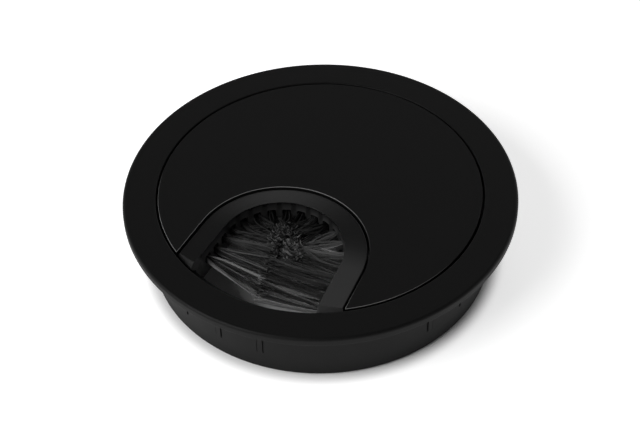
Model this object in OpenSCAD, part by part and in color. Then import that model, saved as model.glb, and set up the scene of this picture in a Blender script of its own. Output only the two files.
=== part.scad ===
// Round cable grommet for a desk, with a brush in its mouth.
//
// A flanged liner drops into the desk hole. A flush cover lies on a ledge inside it.
// The cover has a U-shaped mouth, and a moulded holder with bristle tufts lines the mouth.
//
// Origin: on the axis, level with the bottom rim of the sleeve. The mouth opens towards -Y.
// All lengths are in millimetres and all angles in degrees.

/* [Liner] */
// Diameter of the desk hole that the sleeve drops into
desk_hole_d = 80; // [76:1:96]
// Play between the sleeve and the desk hole, on each side
sleeve_play = 1; // [0.5:0.1:2]
// Depth of the sleeve below the flange
sleeve_h = 16; // [12:1:40]
// Wall of the sleeve below the ledge
sleeve_wall = 2; // [1.2:0.1:3]
// Width of the flange outside the sleeve
flange_w = 5.5; // [3:0.5:12]
// Thickness of the flange
flange_t = 2; // [1.5:0.1:4]
// Rounding of the flange's outer top edge
flange_edge_r = 0.75; // [0.2:0.05:1]
// Wall left round the recess that takes the cover
recess_wall = 2; // [1.2:0.1:3]
// Rounding of the recess's top edge
recess_edge_r = 0.3; // [0.1:0.05:0.6]
// Width of the ledge that carries the cover
ledge_w = 2; // [1:0.1:3]
// Thickness of the ledge
ledge_t = 1.5; // [1:0.1:3]
// Chamfer on the sleeve's bottom rim
sleeve_chamfer = 0.5; // [0.2:0.1:1]

/* [Grip ribs on the sleeve] */
// Width of one rib
rib_w = 1.2; // [0.6:0.1:3]
// Length of one rib, down from the flange
rib_l = 10.6; // [4:0.2:11.4]
// How far a rib stands out from the sleeve
rib_out = 0.2; // [0.1:0.05:0.4]
// Ribs in one group
ribs_per_group = 3; // [1:1:4]
// Angle from one rib to the next
rib_step = 15; // [8:1:20]

/* [Cover] */
// Thickness of the cover
cover_t = 2.5; // [2.2:0.1:4]
// Gap between the cover and the recess, all round
cover_gap = 0.5; // [0.2:0.05:1]
// Rounding of the cover's outer top edge
cover_edge_r = 0.5; // [0.1:0.05:0.8]
// Rounding of the top edge of the cover's cut-out
cutout_edge_r = 0.4; // [0.1:0.05:0.8]

/* [Brush holder] */
// Radius of the clear mouth inside the holder
mouth_r = 14.1; // [12.5:0.1:15.5]
// Distance from the cover's edge back to the centre of the mouth's arc
mouth_back = 16; // [14:0.5:19]
// Angle by which each arm opens towards the edge
arm_flare = 3; // [1:0.5:5]
// Width of the holder's rim
rim_w = 5.1; // [4:0.1:6]
// Gap between the holder and the cover's cut-out
holder_gap = 0.35; // [0.2:0.05:0.8]
// Drop from the cover's top to the rim's outer edge
rim_drop = 0.35; // [0.1:0.05:0.8]
// Rise of the rim from its outer edge to its inner edge, as a collar round the mouth
rim_rise = 0.8; // [0.2:0.05:1.2]
// Rounding of the rim's outer edge
rim_edge_r = 0.4; // [0.1:0.05:0.6]
// Depth of the holder's wall below its inner edge
holder_h = 7.4; // [6.4:0.1:9]
// Width of the foot that lies under the cover
foot_w = 4.5; // [4.2:0.1:6]
// Thickness of the foot
foot_t = 1.5; // [1:0.1:2]
// Gap between the arm ends and the wall of the recess
arm_end_gap = 0.6; // [0.3:0.1:1.5]
// Chamfer on the arm ends
arm_end_chamfer = 0.8; // [0.2:0.1:1.2]
// Gap between the holder and the side of the liner's ledge
ledge_gap = 0.2; // [0.1:0.05:0.6]
// Extra angle of the lead-in at the end of each arm
lead_in_angle = 8; // [2:1:12]
// Distance from the last slot to the start of the lead-in
lead_in_after = 1.6; // [0.6:0.1:3]

/* [Bristle tufts] */
// Distance from one tuft to the next along the wall
tuft_pitch = 3.34; // [3:0.02:3.6]
// Width of a slot that holds a tuft
slot_w = 2; // [1.6:0.1:2.2]
// Height of a slot
slot_h = 2.2; // [1.6:0.1:2.4]
// Depth of a slot into the wall
slot_deep = 1.2; // [0.8:0.1:2]
// Height of wall between the rim's inner edge and a slot
slot_below_rim = 2.25; // [1.6:0.05:2.8]
// Clearance of a tuft in its slot, on each side
tuft_play = 0.25; // [0.1:0.05:0.3]
// Clearance between a tuft's root and the back of its slot
root_play = 0.02; // [0.01:0.01:0.1]
// Gap between neighbouring tufts
tuft_gap = 0.25; // [0.15:0.05:0.4]
// Distance from the wall over which a tuft spreads out
spread_l = 2; // [1:0.2:4]
// Clear radius at the middle, where the tips of the round end meet
tip_clear_r = 2.2; // [1.8:0.1:4]
// Lean of the straight tufts towards the edge
tuft_lean_angle = 5; // [4:0.5:6]
// Lean of the free side of the last tuft on the left arm
left_last_lean_angle = 17; // [6:1:20]
// Lean of the free side of the last tuft on the right arm
right_last_lean_angle = 9.5; // [6:0.5:12]

/* [Screws] */
// Thread diameter of the screws that hold the holder
screw_d = 2; // [1.6:0.2:2.4]
// Length of a screw under its head
screw_l = 3; // [2.4:0.1:3.2]
// Diameter of a screw head
head_d = 3.8; // [3:0.1:4]
// Height of a screw head
head_h = 1.4; // [1:0.1:2]
// Clearance of a screw in the foot, all round
screw_play = 0.2; // [0.1:0.05:0.3]
// Clearance of a screw in its tapped hole, all round
thread_play = 0.05; // [0.02:0.01:0.1]
// Depth of a tapped hole past the end of its screw
thread_past = 0.2; // [0.1:0.05:0.4]
// Angle from one screw to the next round the mouth's arc
screw_step = 62; // [40:1:70]

/* [Hidden] */
// Steps of a full circle, and of a rounded edge
$fn = 128;
edge_steps = 6;
// Overrun of a cut past the faces that it opens
over = 1;

// Angles of the middles of the rib groups
rib_groups = [-99.3, -12.5, 80.7, 167.5];

screws = 3;

// Liner: radii from the axis and heights from the bottom rim
sleeve_r = desk_hole_d / 2 - sleeve_play;
sleeve_in_r = sleeve_r - sleeve_wall;
flange_r = sleeve_r + flange_w;
recess_r = sleeve_r - recess_wall;
ledge_r = recess_r - ledge_w;
top_z = sleeve_h + flange_t;

// Cover
cover_r = recess_r - cover_gap;
seat_z = top_z - cover_t;
ledge_low_z = seat_z - ledge_t;

// Holder: radii from the centre of the mouth's arc
arc_y = -(cover_r - mouth_back);
holder_r = mouth_r + rim_w;
cutout_r = holder_r + holder_gap;
foot_r = holder_r + foot_w;
rim_out_z = top_z - rim_drop;
rim_in_z = rim_out_z + rim_rise;
holder_low_z = rim_in_z - holder_h;
foot_low_z = seat_z - foot_t;
arm_end_r = recess_r - arm_end_gap;
arm_low_r = ledge_r - ledge_gap;
// An arm is cut back to the recess, so it starts long enough to reach it at any size
arm_l = mouth_back + mouth_r;
// Angle by which the two halves of the arc overlap past the middle, to join as one
half_overlap = 5;

// Tufts: a tuft is centred on the height of its slot
slot_z = rim_in_z - slot_below_rim - slot_h;
tuft_z = slot_z + tuft_play;
tuft_t = slot_h - 2 * tuft_play;
root_half = slot_w / 2 - tuft_play;
root_deep = slot_deep - root_play;
band_half = (tuft_pitch - tuft_gap) / 2;
arc_step = tuft_pitch / mouth_r * 180 / PI;
// As many tufts as fit round the arc, the same on each side of its middle
arc_tufts = 2 * floor(90 / arc_step);
last_arc_angle = 90 - (arc_tufts - 1) / 2 * arc_step;
// Place of an arm's first tuft, measured along the wall from the end of the arc
first_arm_s = tuft_pitch - (last_arc_angle - arm_flare) * PI / 180 * mouth_r;
// Length of wall from the middle of the arc to the ledge. The right arm is filled with tufts,
// and the left arm has one less, which leaves a free corner for the first cable.
wall_l = sqrt(ledge_r * ledge_r - mouth_r * mouth_r) + arc_y + mouth_r * sin(arm_flare);
right_tufts = 1 + floor((wall_l - tuft_pitch / 2 - first_arm_s) / tuft_pitch);
left_tufts = right_tufts - 1;

// Screws: on a circle round the centre of the mouth's arc, in the middle of the foot
screw_r = holder_r + foot_w / 2;
head_low_z = foot_low_z - head_h;
thread_top_z = foot_low_z + screw_l + thread_past;
head_edge = head_h / 3;
// Cross recess in a screw head, as shares of the head's diameter and height
cross_l_share = 0.56;
cross_w_share = 0.13;
cross_deep_share = 0.5;
cross_l = head_d * cross_l_share;
cross_w = head_d * cross_w_share;
cross_deep = head_h * cross_deep_share;

// Points of a quarter circle of radius r round the point (x, z), from angle a and turning by an angle
function quarter(x, z, r, a, turn = 90) = [
    for (i = [0 : edge_steps])
        [x + r * cos(a + turn * i / edge_steps), z + r * sin(a + turn * i / edge_steps)]
];

// Point on an arm's wall in plan, s along the wall from the end of the arc and
// deep into the wall from its face. The arm is the one on the +X side.
function wall_point(s, deep) = [
    (mouth_r + deep) * cos(arm_flare) + s * sin(arm_flare),
    (mouth_r + deep) * sin(arm_flare) - s * cos(arm_flare)
];

// Point where a tuft's side that starts at p and leans by an angle ends, short of the centre line
function tip_point(p, lean) = [tuft_gap / 2, p.y - (p.x - tuft_gap / 2) * tan(lean)];

// Place along the wall of tuft i of an arm
function arm_tuft_s(i) = first_arm_s + (i - 1) * tuft_pitch;

// Half the width of an arc tuft at a radius, clear of its neighbours all the way in
function arc_half(r) = r * tan(arc_step / 2) - tuft_gap / 2;

// Angle round the arc of arc tuft i
function arc_tuft_angle(i) = last_arc_angle + (i - 1) * arc_step;

// Angle round the arc of screw i
function screw_angle(i) = 90 + (i - (screws + 1) / 2) * screw_step;

// Moves its children from the centre of the mouth's arc to their place in the grommet
module at_arc() {
    translate([0, arc_y, 0]) children();
}

// Runs a section of radius and height along the +X arm, from the end of the arc
module along_arm(length) {
    rotate([90, 0, arm_flare]) linear_extrude(length) children();
}

// Runs a section of radius and height round the +X half of the arc, to just past its middle
module round_half_arc() {
    rotate([0, 0, arm_flare]) rotate_extrude(angle = 90 - arm_flare + half_overlap) children();
}

// Its children, and the same again on the other side of the centre line
module both_sides() {
    children();
    mirror([1, 0, 0]) children();
}

// Half section of the liner
module liner_section() {
    polygon(concat(
        [[sleeve_in_r, 0], [sleeve_r - sleeve_chamfer, 0], [sleeve_r, sleeve_chamfer]],
        [[sleeve_r, sleeve_h], [flange_r, sleeve_h]],
        quarter(flange_r - flange_edge_r, top_z - flange_edge_r, flange_edge_r, 0),
        quarter(recess_r + recess_edge_r, top_z - recess_edge_r, recess_edge_r, 90),
        [[recess_r, seat_z], [ledge_r, seat_z], [ledge_r, ledge_low_z], [sleeve_in_r, ledge_low_z]]
    ));
}

module grip_rib() {
    translate([sleeve_r - sleeve_wall / 2, -rib_w / 2, sleeve_h - rib_l])
        cube([sleeve_wall / 2 + rib_out, rib_w, rib_l + flange_t / 2]);
}

module liner() {
    color("#1d1d1e") union() {
        rotate_extrude() liner_section();
        for (group = rib_groups, i = [1 : ribs_per_group])
            rotate([0, 0, group + (i - (ribs_per_group + 1) / 2) * rib_step]) grip_rib();
    }
}

// Half section of the cut-out in the cover, from a radius outwards
module cutout_section(from_r) {
    polygon(concat(
        [[from_r, seat_z - over], [cutout_r, seat_z - over]],
        quarter(cutout_r + cutout_edge_r, top_z - cutout_edge_r, cutout_edge_r, 180, -90),
        [[cutout_r + cutout_edge_r, top_z + over], [from_r, top_z + over]]
    ));
}

module cover_cutout() {
    at_arc() both_sides() {
        round_half_arc() cutout_section(0);
        along_arm(arm_l) cutout_section(-mouth_r / 2);
    }
}

module cover() {
    color("#1b1b1c") difference() {
        rotate_extrude() polygon(concat(
            [[0, seat_z], [cover_r, seat_z]],
            quarter(cover_r - cover_edge_r, top_z - cover_edge_r, cover_edge_r, 0),
            [[0, top_z]]
        ));
        cover_cutout();
        at_arc() for (i = [1 : screws])
            rotate([0, 0, screw_angle(i)]) translate([screw_r, 0, seat_z - over])
                cylinder(r = screw_d / 2 + thread_play, h = thread_top_z - seat_z + over);
    }
}

// Half section of the holder: foot, wall and a rim that rises to the mouth
module holder_section() {
    rim_slope_angle = atan(rim_rise / rim_w);
    polygon(concat(
        [[mouth_r, holder_low_z], [holder_r, holder_low_z], [holder_r, foot_low_z]],
        [[foot_r, foot_low_z], [foot_r, seat_z], [holder_r, seat_z]],
        quarter(holder_r - rim_edge_r, rim_out_z - rim_edge_r, rim_edge_r, 0, 90 - rim_slope_angle),
        [[mouth_r, rim_in_z]]
    ));
}

// Space that the arm ends have to stay in, inside the recess and over the ledge
module holder_limit() {
    rotate_extrude() polygon([
        [0, holder_low_z - over],
        [arm_low_r, holder_low_z - over],
        [arm_low_r, seat_z],
        [arm_end_r, seat_z],
        [arm_end_r, rim_out_z - arm_end_chamfer],
        [arm_end_r - arm_end_chamfer - rim_rise - over, rim_in_z + over],
        [0, rim_in_z + over]
    ]);
}

module tuft_slot() {
    translate([-over, -slot_w / 2, slot_z]) cube([slot_deep + over, slot_w, slot_h]);
}

// Wedge that opens the inner wall of the +X arm past its last slot
module lead_in(tufts) {
    s = arm_tuft_s(tufts) + slot_w / 2 + lead_in_after;
    translate([0, 0, holder_low_z - over]) linear_extrude(holder_h + 2 * over) polygon([
        wall_point(s, 0),
        wall_point(s, -over),
        wall_point(s + arm_l, -over),
        wall_point(s + arm_l, arm_l * tan(lead_in_angle))
    ]);
}

// Slots and lead-in of the +X arm
module arm_cuts(tufts) {
    for (i = [1 : tufts]) {
        p = wall_point(arm_tuft_s(i), 0);
        translate([p.x, p.y, 0]) rotate([0, 0, arm_flare]) tuft_slot();
    }
    lead_in(tufts);
}

module brush_holder() {
    color("#232324") difference() {
        intersection() {
            at_arc() both_sides() {
                round_half_arc() holder_section();
                along_arm(arm_l) holder_section();
            }
            holder_limit();
        }
        at_arc() {
            for (i = [1 : arc_tufts])
                rotate([0, 0, arc_tuft_angle(i)]) translate([mouth_r, 0, 0]) tuft_slot();
            arm_cuts(right_tufts);
            mirror([1, 0, 0]) arm_cuts(left_tufts);
            for (i = [1 : screws])
                rotate([0, 0, screw_angle(i)]) translate([screw_r, 0, foot_low_z - over])
                    cylinder(r = screw_d / 2 + screw_play, h = foot_t + 2 * over);
        }
    }
}

// Plan of a tuft of the round end, from its root in the slot towards the middle at the origin
module arc_tuft_plan() {
    spread_r = mouth_r - spread_l;
    polygon([
        [mouth_r + root_deep, -root_half],
        [mouth_r, -root_half],
        [spread_r, -arc_half(spread_r)],
        [tip_clear_r, -arc_half(tip_clear_r)],
        [tip_clear_r, arc_half(tip_clear_r)],
        [spread_r, arc_half(spread_r)],
        [mouth_r, root_half],
        [mouth_r + root_deep, root_half]
    ]);
}

module arc_tuft(i) {
    color("#2a2a2a") at_arc() rotate([0, 0, arc_tuft_angle(i)])
        translate([0, 0, tuft_z]) linear_extrude(tuft_t) arc_tuft_plan();
}

// Tuft i of the +X arm, whose outer side leans by an angle of its own. The inner side of the
// first tuft follows the last tuft of the arc in to the middle.
module arm_tuft(i, outer_lean) {
    s = arm_tuft_s(i);
    inner_side = wall_point(s - band_half, -spread_l);
    outer_side = wall_point(s + band_half, -spread_l);
    inner_tip = i == 1 ? [tuft_gap / 2, -tuft_gap / 2] : tip_point(inner_side, tuft_lean_angle);
    color("#2a2a2a") translate([0, 0, tuft_z]) linear_extrude(tuft_t) polygon([
        wall_point(s - root_half, root_deep),
        wall_point(s - root_half, 0),
        inner_side,
        inner_tip,
        tip_point(outer_side, outer_lean),
        outer_side,
        wall_point(s + root_half, 0),
        wall_point(s + root_half, root_deep)
    ]);
}

module right_tuft(i) {
    at_arc() arm_tuft(i, i == right_tufts ? right_last_lean_angle : tuft_lean_angle);
}

module left_tuft(i) {
    at_arc() mirror([1, 0, 0]) arm_tuft(i, i == left_tufts ? left_last_lean_angle : tuft_lean_angle);
}

// Pan head screw, standing head down with its cross recess underneath
module screw(i) {
    color("#3a3a3c") at_arc() rotate([0, 0, screw_angle(i)]) translate([screw_r, 0, 0]) difference() {
        rotate_extrude() polygon([
            [0, head_low_z],
            [head_d / 2 - head_edge, head_low_z],
            [head_d / 2, head_low_z + head_edge],
            [head_d / 2, foot_low_z],
            [screw_d / 2, foot_low_z],
            [screw_d / 2, foot_low_z + screw_l],
            [0, foot_low_z + screw_l]
        ]);
        for (a = [0, 90]) rotate([0, 0, a]) translate([-cross_l / 2, -cross_w / 2, head_low_z - over])
            cube([cross_l, cross_w, cross_deep + over]);
    }
}

liner();
cover();
brush_holder();
for (i = [1 : arc_tufts]) arc_tuft(i);
for (i = [1 : left_tufts]) left_tuft(i);
for (i = [1 : right_tufts]) right_tuft(i);
for (i = [1 : screws]) screw(i);
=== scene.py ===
"""Looks of a round cable grommet for a desk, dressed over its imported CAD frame.

Everything is in the frame of the CAD model: metres, +Z up, the origin on the axis at the sleeve's bottom
rim and the mouth of the cover towards -Y. The classes of the grommet hold their sizes in millimetres, which
MM turns to metres, and their turns in degrees, and over is how far a cutter reaches past what it cuts. Those
of the studio say where theirs are metres.
"""

import logging
import math
import random
from collections.abc import Iterator
from contextlib import contextmanager
from dataclasses import dataclass, replace
from enum import Enum

import bmesh
import bpy
from mathutils import Matrix, Vector


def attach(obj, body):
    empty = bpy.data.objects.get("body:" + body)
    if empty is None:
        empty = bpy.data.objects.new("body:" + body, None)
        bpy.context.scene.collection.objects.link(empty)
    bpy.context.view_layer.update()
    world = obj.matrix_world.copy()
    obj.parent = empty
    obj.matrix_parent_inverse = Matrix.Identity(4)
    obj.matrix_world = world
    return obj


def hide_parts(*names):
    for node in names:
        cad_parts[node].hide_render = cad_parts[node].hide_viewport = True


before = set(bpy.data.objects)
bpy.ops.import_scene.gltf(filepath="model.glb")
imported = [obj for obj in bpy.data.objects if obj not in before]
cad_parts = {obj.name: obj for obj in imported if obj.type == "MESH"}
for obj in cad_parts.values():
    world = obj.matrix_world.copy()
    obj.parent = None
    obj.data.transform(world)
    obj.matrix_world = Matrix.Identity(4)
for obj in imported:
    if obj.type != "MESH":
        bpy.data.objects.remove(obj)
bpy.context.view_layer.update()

log = logging.getLogger("grommet")

MM = 0.001
BODY = "root"
# Steps of a full turn on the round pieces, and the angle past which an edge stays sharp
TURN_STEPS = 288
SHARP_ANGLE = math.radians(32)
# How near a vertex lies to the ring that it counts as on, how near the ends of a full turn lie that are
# joined, and how wide the slivers are that a cut leaves and that are merged away, all in mm
RING_TOLERANCE = 0.01
TURN_WELD = 0.001
CUT_SLIVER = 0.002


class Combine(Enum):
    """Ways to combine two solids."""

    ADD = "UNION"
    CUT = "DIFFERENCE"
    KEEP_COMMON = "INTERSECT"


class Side(Enum):
    """Side of the mouth that an arm of the holder stands on, as the sign of its X."""

    LEFT = -1
    RIGHT = 1


# ---- Meshes


@contextmanager
def mesh_edit(mesh: bpy.types.Mesh) -> Iterator[bmesh.types.BMesh]:
    """Opens a mesh as a bmesh, and writes it back when the work on it is done.

    Args:
        mesh: Mesh to work on.

    Yields:
        The bmesh.
    """
    bm = bmesh.new()
    bm.from_mesh(mesh)
    yield bm
    bm.to_mesh(mesh)
    bm.free()


def add_object(name: str, data: bpy.types.ID) -> bpy.types.Object:
    """Adds an object to the scene.

    Args:
        name: Its name.
        data: Mesh, curve, light or camera that it shows.

    Returns:
        The new object.
    """
    added = bpy.data.objects.new(name, data)
    bpy.context.scene.collection.objects.link(added)
    return added


def at_arc(x: float, y: float, z: float, arc_y: float) -> Vector:
    """Turns a point measured from the centre of the mouth's arc, in mm, to the frame, in metres.

    Args:
        x: Distance along X.
        y: Distance along Y.
        z: Height above the sleeve's bottom rim.
        arc_y: Y of the arc's centre.

    Returns:
        The point in the frame, in metres.
    """
    return Vector((x, y + arc_y, z)) * MM


def lathe(section: list[tuple[float, float]], steps: int = TURN_STEPS) -> bmesh.types.BMesh:
    """Spins a section round the Z axis into a closed solid.

    Args:
        section: Corners as radius and height, in mm, with the first and last on the axis or both off it.
        steps: Steps of the full turn.

    Returns:
        The new solid.
    """
    bm = bmesh.new()
    verts = [bm.verts.new((r * MM, 0, z * MM)) for r, z in section]
    pairs = list(zip(verts, verts[1:]))
    if section[0][0] > 0:
        pairs.append((verts[-1], verts[0]))
    edges = [bm.edges.new(pair) for pair in pairs]
    bmesh.ops.spin(
        bm, geom=verts + edges, cent=(0, 0, 0), axis=(0, 0, 1), angle=math.tau, steps=steps, use_merge=True
    )
    bmesh.ops.remove_doubles(bm, verts=bm.verts, dist=TURN_WELD * MM)
    bmesh.ops.recalc_face_normals(bm, faces=bm.faces)
    return bm


def round_ring(bm: bmesh.types.BMesh, radius: float, height: float, width: float, segments: int = 5) -> None:
    """Rounds the edge that runs round the Z axis at a radius and a height.

    Args:
        bm: Solid with the edge.
        radius: Radius of the edge, in mm.
        height: Height of the edge, in mm.
        width: Radius of the rounding, in mm.
        segments: Steps of the rounding.
    """

    def on_ring(vert: bmesh.types.BMVert) -> bool:
        """Says whether a vertex lies on the ring."""
        off_radius = abs(math.hypot(vert.co.x, vert.co.y) - radius * MM)
        return max(off_radius, abs(vert.co.z - height * MM)) < RING_TOLERANCE * MM

    edges = [e for e in bm.edges if all(on_ring(v) for v in e.verts)]
    bmesh.ops.bevel(
        bm, geom=edges, offset=width * MM, affect="EDGES", segments=segments, profile=0.5, material=-1
    )


def add_block(bm: bmesh.types.BMesh, place: Matrix, size: Vector, edge: float = 0.0) -> None:
    """Adds a block, with rounded edges if asked.

    Args:
        bm: Mesh that takes the block.
        place: Turn and centre of the block, in metres.
        size: Its size along its own axes, in mm.
        edge: Radius of its edges, in mm.
    """
    made = bmesh.ops.create_cube(bm, size=1, matrix=place @ Matrix.Diagonal((*(size * MM), 1)))
    if edge > 0:
        edges = {e for v in made["verts"] for e in v.link_edges}
        bmesh.ops.bevel(
            bm, geom=list(edges), offset=edge * MM, affect="EDGES", segments=2, profile=0.5, material=-1
        )


def add_rod(
    bm: bmesh.types.BMesh, centre: Vector, radius: float, low: float, high: float, steps: int = 32
) -> None:
    """Adds an upright rod or disc.

    Args:
        bm: Mesh that takes the rod.
        centre: Its axis, in metres.
        radius: Its radius, in mm.
        low: Height of its lower end, in mm.
        high: Height of its upper end, in mm.
        steps: Steps of its turn.
    """
    middle = Vector((centre.x, centre.y, (low + high) / 2 * MM))
    bmesh.ops.create_cone(
        bm, cap_ends=True, cap_tris=False, segments=steps, radius1=radius * MM, radius2=radius * MM,
        depth=(high - low) * MM, matrix=Matrix.Translation(middle),
    )


def raise_faces(bm: bmesh.types.BMesh, faces: list[bmesh.types.BMFace], height: float) -> None:
    """Raises flat faces to a solid.

    Args:
        bm: Mesh with the faces.
        faces: The faces, which stay at its lower end.
        height: Height of the solid, in mm.
    """
    grown = bmesh.ops.extrude_face_region(bm, geom=faces)["geom"]
    raised = [g for g in grown if isinstance(g, bmesh.types.BMVert)]
    bmesh.ops.translate(bm, verts=raised, vec=(0, 0, height * MM))


def make_piece(name: str, bm: bmesh.types.BMesh) -> bpy.types.Object:
    """Turns a bmesh to an object of the scene and frees it.

    Args:
        name: Name of the object and its mesh.
        bm: The bmesh.

    Returns:
        The new object.
    """
    mesh = bpy.data.meshes.new(name)
    bm.to_mesh(mesh)
    bm.free()
    return add_object(name, mesh)


def apply_modifiers(piece: bpy.types.Object) -> None:
    """Puts what a piece's modifiers give into its mesh and removes them.

    Args:
        piece: Piece with the modifiers.
    """
    bpy.context.view_layer.update()
    graph = bpy.context.evaluated_depsgraph_get()
    mesh = bpy.data.meshes.new_from_object(piece.evaluated_get(graph), depsgraph=graph)
    old = piece.data
    piece.modifiers.clear()
    piece.data = mesh
    bpy.data.meshes.remove(old)
    mesh.name = piece.name


def combine(piece: bpy.types.Object, other: bpy.types.Object, way: Combine) -> None:
    """Combines a piece with another solid, which is then gone.

    Args:
        piece: Solid that stays.
        other: Solid that is added, cut away or used as the limit.
        way: How they combine.
    """
    step = piece.modifiers.new(way.name.lower(), "BOOLEAN")
    step.operation = way.value
    step.solver = "EXACT"
    step.object = other
    apply_modifiers(piece)
    bpy.data.objects.remove(other)


def weigh_normals(piece: bpy.types.Object) -> None:
    """Merges the slivers of a piece and shades it smooth, with flat faces flat and sharp edges sharp.

    Args:
        piece: Finished solid.
    """
    with mesh_edit(piece.data) as bm:
        bmesh.ops.remove_doubles(bm, verts=bm.verts, dist=CUT_SLIVER * MM)
        bmesh.ops.dissolve_degenerate(bm, edges=bm.edges, dist=CUT_SLIVER * MM)
    piece.data.shade_smooth()
    piece.data.set_sharp_from_angle(angle=SHARP_ANGLE)
    step = piece.modifiers.new("weigh normals", "WEIGHTED_NORMAL")
    step.keep_sharp = True
    apply_modifiers(piece)


def dress(piece: bpy.types.Object, material: bpy.types.Material, slot: str, *nodes: str) -> None:
    """Gives a piece its finish and its place in the frame.

    Args:
        piece: Finished piece.
        material: Its finish.
        slot: Material slot of the record that it follows, which is not used.
        nodes: CAD nodes that it stands for.
    """
    piece.data.materials.clear()
    piece.data.materials.append(material)
    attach(piece, BODY)
    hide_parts(*nodes)
    log.info("%s: %d faces, for %s", piece.name, len(piece.data.polygons), ", ".join(nodes))


# ---- Finishes


def linear(colour: str) -> tuple[float, float, float, float]:
    """Turns an sRGB hex colour, such as #808080, to linear RGBA."""
    shares = [int(colour[i : i + 2], 16) / 255 for i in (1, 3, 5)]
    return tuple(c / 12.92 if c <= 0.04045 else ((c + 0.055) / 1.055) ** 2.4 for c in shares) + (1.0,)


def per_mm(size: float) -> float:
    """Scale of a noise texture on Object coordinates whose features are a size in mm."""
    return 1 / (size * MM)


def add_node(
    tree: bpy.types.NodeTree, kind: str, inputs: dict | None = None, **settings: object
) -> bpy.types.Node:
    """Adds a node with its settings, input values and links.

    Args:
        tree: Node tree that takes it.
        kind: Type name of the node.
        inputs: Value, or output socket to link from, by the name or number of the input.
        settings: Properties of the node.

    Returns:
        The new node.
    """
    node = tree.nodes.new(kind)
    for name, value in settings.items():
        setattr(node, name, value)
    for key, value in (inputs or {}).items():
        if isinstance(value, bpy.types.NodeSocket):
            tree.links.new(value, node.inputs[key])
        else:
            node.inputs[key].default_value = value
    return node


def new_material(name: str) -> tuple[bpy.types.Material, bpy.types.NodeTree]:
    """Makes a material with an empty node tree.

    Args:
        name: Its name.

    Returns:
        The material and its tree.
    """
    material = bpy.data.materials.new(name)
    material.use_nodes = True
    material.node_tree.nodes.clear()
    return material, material.node_tree


@dataclass(frozen=True)
class PowderCoat:
    """Matt black polyester powder coat on die-cast zinc: even, with a broad soft gloss and a fine grain."""

    dark: str = "#0a0a0a"
    light: str = "#0f0f0f"
    # Colour and roughness of the painted highlights on rounded edges
    painted_highlight: str = "#8c8c8c"
    roughness: float = 0.52
    roughness_spread: float = 0.03
    painted_highlight_roughness: float = 0.3
    ior: float = 1.5
    specular: float = 0.13
    grain_mm: float = 0.3
    grain_deep_mm: float = 0.02
    grain_bump: float = 0.25
    cloud_mm: float = 6.0
    # Attribute that marks where the painted highlights lie
    edge: str = "edge"

    def build(self) -> bpy.types.Material:
        """Builds the material.

        Returns:
            The material.
        """
        material, tree = new_material("powder_coat_matt_black")
        place = add_node(tree, "ShaderNodeTexCoord").outputs["Object"]
        # Grains of the powder, about 0.05 mm, are drawn at 0.3 mm, because finer ones don't show in the render
        grain = add_node(
            tree, "ShaderNodeTexNoise", {"Vector": place, "Scale": per_mm(self.grain_mm), "Detail": 3.0}
        )
        # The coat is a little thicker in some places than in others, which changes its gloss slowly
        cloud = add_node(
            tree, "ShaderNodeTexNoise", {"Vector": place, "Scale": per_mm(self.cloud_mm), "Detail": 2.0}
        )
        colour = add_node(
            tree, "ShaderNodeMix",
            {"Factor": grain.outputs["Fac"], "A": linear(self.dark), "B": linear(self.light)},
            data_type="RGBA",
        )
        rough = add_node(
            tree, "ShaderNodeMapRange",
            {
                "Value": cloud.outputs["Fac"],
                "To Min": self.roughness - self.roughness_spread,
                "To Max": self.roughness + self.roughness_spread,
            },
        )
        # Rounded edges near the mouth carry painted highlights: fine lighter lines of a paler, smoother coat
        edge = add_node(tree, "ShaderNodeAttribute", attribute_name=self.edge).outputs["Fac"]
        painted_light_colour = add_node(
            tree, "ShaderNodeMix",
            {"Factor": edge, "A": colour.outputs["Result"], "B": linear(self.painted_highlight)},
            data_type="RGBA",
        )
        painted_light_rough = add_node(
            tree, "ShaderNodeMapRange",
            {"Value": edge, "To Min": rough.outputs["Result"], "To Max": self.painted_highlight_roughness},
        )
        bump = add_node(
            tree, "ShaderNodeBump",
            {"Height": grain.outputs["Fac"], "Strength": self.grain_bump, "Distance": self.grain_deep_mm * MM},
        )
        skin = add_node(
            tree, "ShaderNodeBsdfPrincipled",
            {
                "Base Color": painted_light_colour.outputs["Result"],
                "Roughness": painted_light_rough.outputs["Result"],
                "Normal": bump.outputs["Normal"],
                "IOR": self.ior,
                "Specular IOR Level": self.specular,
            },
        )
        add_node(tree, "ShaderNodeOutputMaterial", {"Surface": skin.outputs["BSDF"]})
        return material


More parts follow.
